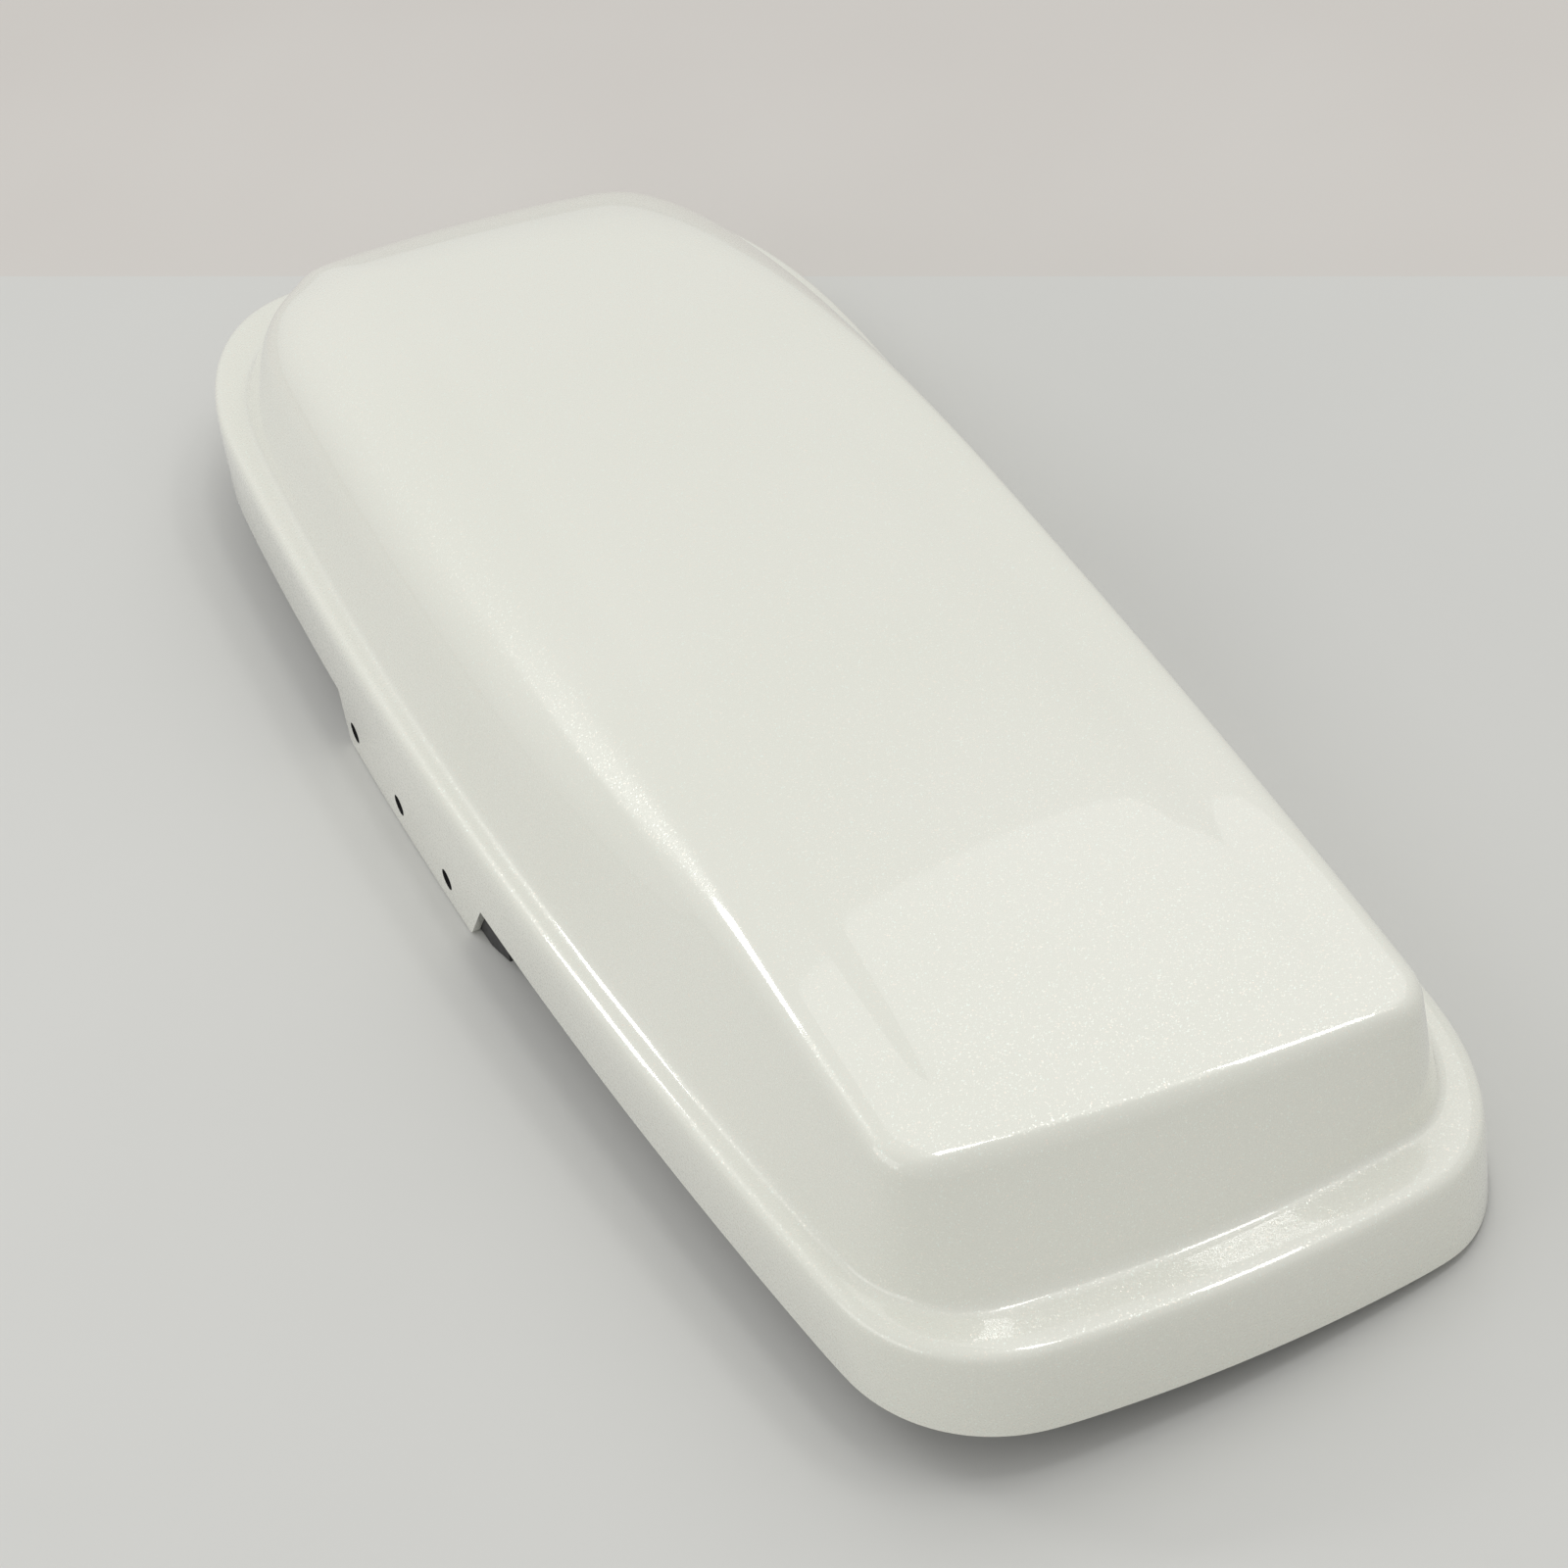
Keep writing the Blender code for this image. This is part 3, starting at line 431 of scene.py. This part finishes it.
def below_the_rim():
    """Everything under the lid's lower edge: two shapes that leave the hinge tab standing."""
    count = 90
    outline = [(END_Y, 0.0)]
    for k in range(count + 1):
        y = TAB_FRONT + (TAB_REAR - TAB_FRONT) * k / count
        outline.append((y, -tab_drop(y)))
    outline += [(-END_Y, 0.0), (-END_Y, -0.1), (END_Y, -0.1)]
    bm = bmesh.new()
    near = [bm.verts.new((-0.2, y, z)) for y, z in outline]
    far = [bm.verts.new((-0.045, y, z)) for y, z in outline]
    bm.faces.new(near)
    bm.faces.new(far[::-1])
    for i in range(len(outline)):
        j = (i + 1) % len(outline)
        bm.faces.new((near[i], far[i], far[j], near[j]))
    outboard = mesh_object("below_outboard", bm)
    rest = mesh_object("below_rest", box_mesh((-0.05, -END_Y, -0.1), (0.2, END_Y, 0.0)))
    return [outboard, rest]


def tab_place(y):
    """The point on the outboard face of the skirt at this y, and the inward normal there."""
    side = Side(SKIRT["corners"][3], SKIRT["corners"][0], SKIRT["bows"][3])
    t = (y - SKIRT["corners"][3][1]) / side.run.y
    return side.point(t).to_3d(), -side.outward.to_3d()


def in_tab_hole(at, normal):
    """Whether a face lies on the wall of one of the tab's holes. These walls get the black plastic, partly
    as the bare black moulding and partly as painted shade for the dark inside of the holes.
    """
    for y in HOLE_YS:
        point, inward = tab_place(y)
        offset = at - point - Vector((0, 0, HOLE_Z))
        along = offset.dot(inward)
        near = abs(along) < 2 * WALL and (offset - inward * along).length < HOLE_RADIUS + 0.0001
        if near and abs(normal.dot(inward)) < 0.3:
            return True
    return False


# ---------------------------------------------------------------- materials
class Nodes:
    """A short way to build a node material round one Principled shader."""

    def __init__(self, name, colour, roughness, **inputs):
        self.material = bpy.data.materials.new(name)
        self.material.use_nodes = True
        self.tree = self.material.node_tree
        self.shader = self.tree.nodes["Principled BSDF"]
        self.shader.inputs["Base Color"].default_value = (*colour, 1.0)
        self.shader.inputs["Roughness"].default_value = roughness
        for key, value in inputs.items():
            self.shader.inputs[key.replace("_", " ")].default_value = value
        self.place = self.add("ShaderNodeTexCoord").outputs["Object"]

    def add(self, kind, **settings):
        node = self.tree.nodes.new(kind)
        for key, value in settings.items():
            setattr(node, key, value)
        return node

    def link(self, source, target):
        self.tree.links.new(source, target)

    def noise(self, scale, detail=3.0, rough=0.5, stretch=None):
        node = self.add("ShaderNodeTexNoise")
        node.inputs["Scale"].default_value = scale
        node.inputs["Detail"].default_value = detail
        node.inputs["Roughness"].default_value = rough
        place = self.place
        if stretch:
            turn = self.add("ShaderNodeMapping")
            turn.inputs["Scale"].default_value = stretch
            self.link(place, turn.inputs["Vector"])
            place = turn.outputs["Vector"]
        self.link(place, node.inputs["Vector"])
        return node.outputs["Fac"]

    def spread(self, source, low, high, from_low=0.3, from_high=0.7):
        node = self.add("ShaderNodeMapRange")
        limits = {"From Min": from_low, "From Max": from_high, "To Min": low, "To Max": high}
        for key, value in limits.items():
            node.inputs[key].default_value = value
        self.link(source, node.inputs["Value"])
        return node.outputs["Result"]

    def mix(self, factor, first, second):
        node = self.add("ShaderNodeMix", data_type="RGBA")
        self.link(factor, node.inputs["Factor"])
        for socket, value in ((node.inputs["A"], first), (node.inputs["B"], second)):
            if isinstance(value, tuple):
                socket.default_value = (*value, 1.0)
            else:
                self.link(value, socket)
        return node.outputs["Result"]

    def bump(self, height, strength, distance):
        node = self.add("ShaderNodeBump")
        node.inputs["Strength"].default_value = strength
        node.inputs["Distance"].default_value = distance
        self.link(height, node.inputs["Height"])
        return node.outputs["Normal"]

    def colour(self, source):
        self.link(source, self.shader.inputs["Base Color"])

    def roughness(self, source):
        self.link(source, self.shader.inputs["Roughness"])

    def normal(self, source):
        self.link(source, self.shader.inputs["Normal"])


def pearl_paint():
    """White pearl base coat with fine flakes under a smooth clear coat."""
    coat = {"Coat_Weight": 1.0, "Coat_Roughness": 0.03, "Coat_IOR": 1.5}
    made = Nodes("pearl_paint", (0.80, 0.80, 0.73), 0.32, **coat)
    drift = made.spread(made.noise(7.0, 2.0), 0.0, 1.0)
    base = made.mix(drift, (0.795, 0.800, 0.722), (0.815, 0.815, 0.745))
    cells = made.add("ShaderNodeTexVoronoi")
    cells.inputs["Scale"].default_value = 2300.0
    made.link(made.place, cells.inputs["Vector"])
    split = made.add("ShaderNodeSeparateColor")
    made.link(cells.outputs["Color"], split.inputs["Color"])
    flake = made.spread(split.outputs["Red"], 0.0, 1.0, 0.88, 0.98)
    tint = made.mix(split.outputs["Green"], (0.95, 0.86, 0.76), (0.86, 0.95, 0.88))
    made.colour(made.mix(flake, base, tint))
    made.roughness(made.spread(split.outputs["Blue"], 0.24, 0.40, 0.0, 1.0))
    made.link(made.spread(split.outputs["Red"], 0.03, 0.30, 0.88, 0.98), made.shader.inputs["Metallic"])
    made.normal(made.bump(cells.outputs["Distance"], 0.035, 0.0001))
    made.link(made.bump(made.noise(70.0, 1.0), 0.008, 0.0006), made.shader.inputs["Coat Normal"])
    return made.material


def moulded_plastic(name, colour, grain=1100.0):
    """Black injection-moulded plastic with a fine grain and paler handling marks."""
    made = Nodes(name, colour, 0.5, Specular_IOR_Level=0.25)
    pale = tuple(c * 2.2 + 0.008 for c in colour)
    made.colour(made.mix(made.spread(made.noise(22.0, 5.0, 0.6), 0.0, 0.55), colour, pale))
    made.roughness(made.spread(made.noise(60.0, 4.0), 0.40, 0.62))
    made.normal(made.bump(made.noise(grain, 2.0), 0.35, 0.00015))
    return made.material


def rubber():
    made = Nodes("seal_rubber", (0.022, 0.022, 0.023), 0.8)
    worn = made.spread(made.noise(35.0, 5.0), 0.0, 0.6)
    made.colour(made.mix(worn, (0.018, 0.018, 0.019), (0.06, 0.058, 0.055)))
    made.roughness(made.spread(made.noise(80.0, 3.0), 0.68, 0.9))
    made.normal(made.bump(made.noise(1500.0, 2.0), 0.3, 0.0001))
    return made.material


def metal(name, colour, rough_low, rough_high, stretch=(1.0, 1.0, 1.0), scale=260.0):
    """Plated metal with a drawn or brushed grain and faint stains."""
    made = Nodes(name, colour, rough_low, Metallic=1.0)
    dull = tuple(c * 0.72 for c in colour)
    made.colour(made.mix(made.spread(made.noise(45.0, 5.0, 0.6), 0.0, 0.6), colour, dull))
    grain = made.noise(scale, 3.0, 0.5, stretch)
    made.roughness(made.spread(grain, rough_low, rough_high))
    made.normal(made.bump(grain, 0.12, 0.00008))
    return made.material


def studio_surface(name, low, high):
    made = Nodes(name, low, 0.55)
    made.colour(made.mix(made.spread(made.noise(3.5, 3.0), 0.0, 1.0), low, high))
    made.roughness(made.spread(made.noise(9.0, 3.0), 0.42, 0.6))
    return made.material


PAINT = pearl_paint()
BLACK = moulded_plastic("black_plastic", (0.016, 0.016, 0.017))
LINER = moulded_plastic("liner_plastic", (0.022, 0.022, 0.023), 700.0)
RUBBER = rubber()
ZINC = metal("zinc_steel", (0.62, 0.61, 0.57), 0.22, 0.42, (1.0, 0.2, 1.0))
CHROME = metal("chrome", (0.82, 0.82, 0.82), 0.05, 0.14, (1.0, 0.3, 1.0), 180.0)
DARK = metal("black_steel", (0.055, 0.055, 0.060), 0.30, 0.50)


def dress(obj, material):
    """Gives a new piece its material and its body."""
    obj.data.materials.clear()
    obj.data.materials.append(material)
    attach(obj, "lid")


# ---------------------------------------------------------------- the lid's own pieces
def latch_box(name, low, high, bevel=0.0):
    return mesh_object(name, box_mesh(low, high, bevel), LATCH_TO_WORLD)


def painted_shell():
    obj = moulded("lid_shell", 0.0, WALL, 2)
    cutters = below_the_rim()
    for k, y in enumerate(HOLE_YS):
        point, inward = tab_place(y)
        base = point + Vector((0, 0, HOLE_Z))
        hole = rod_mesh(HOLE_RADIUS, base - inward * 0.01, base + inward * 0.01)
        cutters.append(mesh_object(f"tab_hole_{k}", hole))
    cutters.append(latch_box("latch_opening", *LATCH_OPENING, LATCH_OPENING_EDGE))
    for k, y in enumerate(LATCH_SCREW_YS):
        ends = (-0.02, y, LATCH_SCREW_Z), (0.02, y, LATCH_SCREW_Z)
        hole = rod_mesh(LATCH_SCREW_HOLE, *ends, 24)
        cutters.append(mesh_object(f"screw_hole_{k}", hole, LATCH_TO_WORLD))
    cut(obj, cutters)
    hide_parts("outer_shell")
    dress(obj, PAINT)
    # The second material, black plastic, goes on the walls of the tab's holes: partly bare moulding, partly
    # painted shade for the holes' dark insides.
    obj.data.materials.append(BLACK)
    for face in obj.data.polygons:
        face.material_index = int(in_tab_hole(face.center - ORIGIN, face.normal))


def liner():
    obj = moulded("lid_liner", LINER_OFFSET, LINER_OFFSET + LINER_WALL, 2, on_ledge=True)
    cut(obj, [latch_box("liner_window", *LINER_WINDOW)])
    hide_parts("inner_liner")
    dress(obj, LINER)


def seal():
    """Bulb seal, flat on top, swept round the inside of the skirt."""
    path = ring(shifted(SKIRT, SEAL_INSET, SEAL_INSET, SEAL_INSET, SEAL_INSET))
    inward = inward_normals(path)
    count = 16
    bm = bmesh.new()
    rows = []
    for at, normal in zip(path, inward):
        row = []
        for k in range(count):
            angle = 2 * math.pi * k / count
            across, up = math.cos(angle), math.sin(angle)
            reach = SEAL_RADIUS if up < 0.55 else SEAL_RADIUS * (1 + 0.10 * abs(across))
            height = min(SEAL_RADIUS * up, SEAL_FLAT)
            offset = normal.to_3d() * (across * reach) + Vector((0, 0, SEAL_HEIGHT + height))
            row.append(bm.verts.new(at.to_3d() + offset))
        rows.append(row)
    for i in range(len(rows)):
        here, there = rows[i], rows[(i + 1) % len(rows)]
        for k in range(count):
            m = (k + 1) % count
            bm.faces.new((here[k], there[k], there[m], here[m]))
    obj = mesh_object("rim_seal", bm)
    step = obj.modifiers.new("smooth", "SUBSURF")
    step.levels = 1
    step.render_levels = 1
    applied(obj, 60)
    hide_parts("lid_seal")
    dress(obj, RUBBER)


def eased_copy(name, material, width):
    """Stands for a CAD node with the same shape and its sharp edges rounded."""
    node = frame["nodes"][name]
    bm = bmesh.new()
    bm.from_mesh(node.data)
    bmesh.ops.remove_doubles(bm, verts=bm.verts, dist=1e-6)
    bmesh.ops.dissolve_limit(
        bm, angle_limit=math.radians(0.5), verts=list(bm.verts), edges=list(bm.edges)
    )
    obj = mesh_object(f"{name}_finished", bm, Matrix.Identity(4))
    step = obj.modifiers.new("eased", "BEVEL")
    step.width = width
    step.segments = 2
    step.limit_method = "ANGLE"
    step.angle_limit = math.radians(40)
    step.use_clamp_overlap = True
    applied(obj, 40)
    obj.data.materials.clear()
    obj.data.materials.append(material)
    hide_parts(name)
    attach(obj, node["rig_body"])


SLOTS = {part["node"]: part["material_slot"] for part in frame["record"]["subparts"]}
FINISHES = {"black_plastic": BLACK, "zinc_steel": ZINC, "chrome": CHROME, "black_steel": DARK}
EASED = {  # the pieces with edges that show, and how far each edge is rounded
    "hinge_backing_plate": 0.0004, "latch_housing": 0.0004, "latch_lever": 0.0005,
    "shaft_bracket_front": 0.0004, "shaft_bracket_rear": 0.0004, "latch_crank": 0.0003,
    "latch_hook_front": 0.0003, "latch_hook_rear": 0.0003,
}


def finish_hardware():
    """Gives the latch, hinge and fixing pieces their looks."""
    for name, node in frame["nodes"].items():
        if SLOTS[name] not in FINISHES or name == "inner_liner":
            continue
        finish = FINISHES[SLOTS[name]]
        if name in EASED:
            eased_copy(name, finish, EASED[name])
        else:
            node.data.materials.clear()
            node.data.materials.append(finish)


# ---------------------------------------------------------------- studio
TAB_FOOT_X = -0.118  # where the tab touches the floor
FOOT_TO_RIM = 0.2391  # from there across to the inboard rim, the lid's other support
FLOOR_SLOPE = TAB_DEPTH / FOOT_TO_RIM
FLOOR_GAP = 0.0003  # the floor stays this far below the lid
FOLD_AT = (0.1088, 0.2744)  # x and y of a point on the line where the second sheet begins
FOLD_HEADING = math.radians(-39.319)
FOLD_REACH = 3.0  # each way along the line
SHEET_DEPTH = 4.0


def floor_point(x, y):
    return Vector((x, y, FLOOR_SLOPE * (x - TAB_FOOT_X) - FLOOR_GAP))


def studio():
    """A pale floor that follows the lid's tilt, and a warmer sheet that carries on behind it."""
    x, y = FOLD_AT
    middle = floor_point(x, y)
    further = floor_point(x + math.cos(FOLD_HEADING), y + math.sin(FOLD_HEADING))
    along = (further - middle).normalized()
    towards_camera = along.cross(Vector((-FLOOR_SLOPE, 0, 1))).normalized()
    left, right = middle - along * FOLD_REACH, middle + along * FOLD_REACH
    for name, side, low, high in (
        ("studio_floor", 1, (0.655, 0.655, 0.635), (0.675, 0.675, 0.655)),
        ("studio_beyond", -1, (0.640, 0.610, 0.580), (0.680, 0.655, 0.625)),
    ):
        across = towards_camera * side * SHEET_DEPTH
        bm = bmesh.new()
        bm.faces.new([bm.verts.new(p) for p in (left, right, right + across, left + across)])
        obj = mesh_object(name, bm, Matrix.Identity(4))
        obj.data.materials.append(studio_surface(name, low, high))


def softbox(name, shines_on, direction, distance, long_axis, size, radiance):
    """An evenly bright panel, this far from a point of the lid and facing it."""
    length, width = size
    data = bpy.data.lights.new(name, "AREA")
    data.shape = "RECTANGLE"
    data.size, data.size_y = length, width
    data.energy = radiance * math.pi * length * width
    obj = bpy.data.objects.new(name, data)
    towards = Vector(direction).normalized()
    across = towards.cross(Vector(long_axis)).normalized()
    turn = Matrix((across.cross(towards), across, towards)).transposed().to_4x4()
    obj.matrix_world = Matrix.Translation(Vector(shines_on) + towards * distance) @ turn
    bpy.context.scene.collection.objects.link(obj)


LID_MIDDLE = (0.0, 0.0, 0.08)
NEAR_EDGE, SIDE_EDGE = (0.0, 1.0, 0.0), (-0.77, 0.0, -0.64)  # the tubes' long axes
TUBE, TUBE_RADIANCE = (0.45, 0.14), 9.0
SOFTBOXES = (  # name, what it shines on, where it is from there, how far, long axis, size, radiance
    ("overhead", LID_MIDDLE, (0.40, 0.35, 1.0), 1.9, (1, 0, 0), (1.2, 1.2), 0.68),
    ("outboard_fill", LID_MIDDLE, (-1.0, -0.05, 0.28), 1.9, (0, 1, 0), (1.6, 0.9), 0.90),
    ("tube_outboard", (-0.05, -0.265, 0.108), (0.10, -0.05, 0.99), 1.5, NEAR_EDGE, TUBE, TUBE_RADIANCE),
    ("tube_inboard", (0.12, -0.28, 0.105), (0.222, -0.058, 0.972), 1.5, NEAR_EDGE, TUBE, TUBE_RADIANCE),
    ("tube_front", (-0.08, -0.28, 0.11), (-0.42, 0.705, 0.55), 1.6, SIDE_EDGE, (0.50, 0.14), TUBE_RADIANCE),
)
SKY_COLOUR, SKY_STRENGTH = (1.0, 1.0, 0.985, 1.0), 0.66


def lights():
    world = bpy.data.worlds.new("studio_world")
    world.use_nodes = True
    sky = world.node_tree.nodes["Background"]
    sky.inputs["Color"].default_value = SKY_COLOUR
    sky.inputs["Strength"].default_value = SKY_STRENGTH
    bpy.context.scene.world = world
    for softbox_row in SOFTBOXES:
        softbox(*softbox_row)


# ---------------------------------------------------------------- build
make_camera()
painted_shell()
liner()
seal()
finish_hardware()
studio()
lights()
bpy.context.scene.view_settings.view_transform = "Standard"
